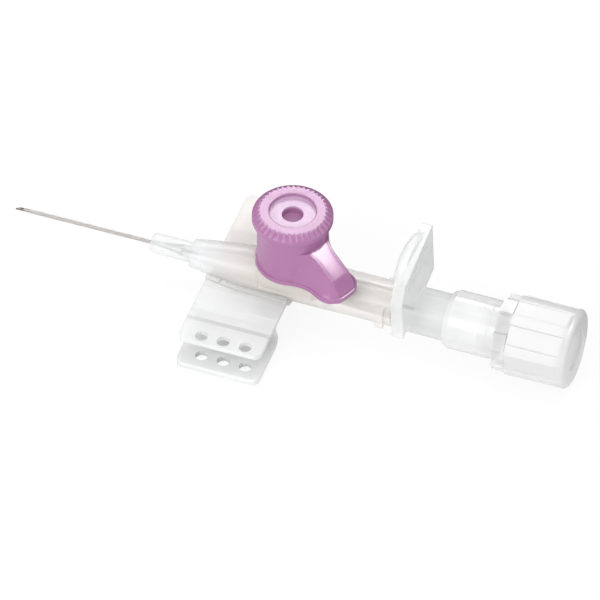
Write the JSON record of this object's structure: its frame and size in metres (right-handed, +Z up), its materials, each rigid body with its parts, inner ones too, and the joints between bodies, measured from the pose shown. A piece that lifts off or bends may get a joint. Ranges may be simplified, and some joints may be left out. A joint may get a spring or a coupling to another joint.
{
  "type": "iv cannula",
  "caption": "Peripheral intravenous cannula: steel needle in a soft catheter, clear hub with folded wings, capped injection port, thumb plate, flash chamber and screw-on stopper.",
  "frame": {"origin": "on the plane under the wings' lower leaves, below the middle of the cannula's length", "axes": "+X along the bore from the needle tip to the stopper, +Z up through the injection port"},
  "size_m": [0.0824, 0.0314, 0.0197],
  "materials": {
    "steel": "polished steel",
    "tube_plastic": "clear soft plastic",
    "hub_plastic": "milky clear plastic",
    "silicone": "soft cream silicone",
    "cap_plastic": "glossy purple plastic",
    "wing_plastic": "milky soft plastic",
    "carrier_plastic": "frosted clear plastic",
    "chamber_plastic": "clear gloss plastic",
    "filter_media": "white porous disc",
    "stopper_plastic": "white translucent plastic"
  },
  "bodies": {
    "cannula": {"catheter_tube": "tube_plastic", "catheter_eyelet": "steel", "catheter_hub": "hub_plastic", "valve_sleeve": "silicone", "wings": "wing_plastic"},
    "needle_unit": {"needle": "steel", "needle_hub": "carrier_plastic", "flash_chamber": "chamber_plastic", "vent_fitting": "chamber_plastic", "vent_filter": "filter_media"},
    "cap": {"port_cap": "cap_plastic"},
    "stopper": {"stopper": "stopper_plastic"}
  },
  "joints": [
    {"name": "needle_withdraw", "type": "slide", "parent": "cannula", "child": "needle_unit", "axis": [1, 0, 0], "range_m": [0, 0.06]},
    {"name": "cap_lift", "type": "slide", "parent": "cannula", "child": "cap", "axis": [0, 0, 1], "range_m": [0, 0.012]},
    {"name": "stopper_pull", "type": "slide", "parent": "needle_unit", "child": "stopper", "axis": [1, 0, 0], "range_m": [0, 0.012]}
  ]
}
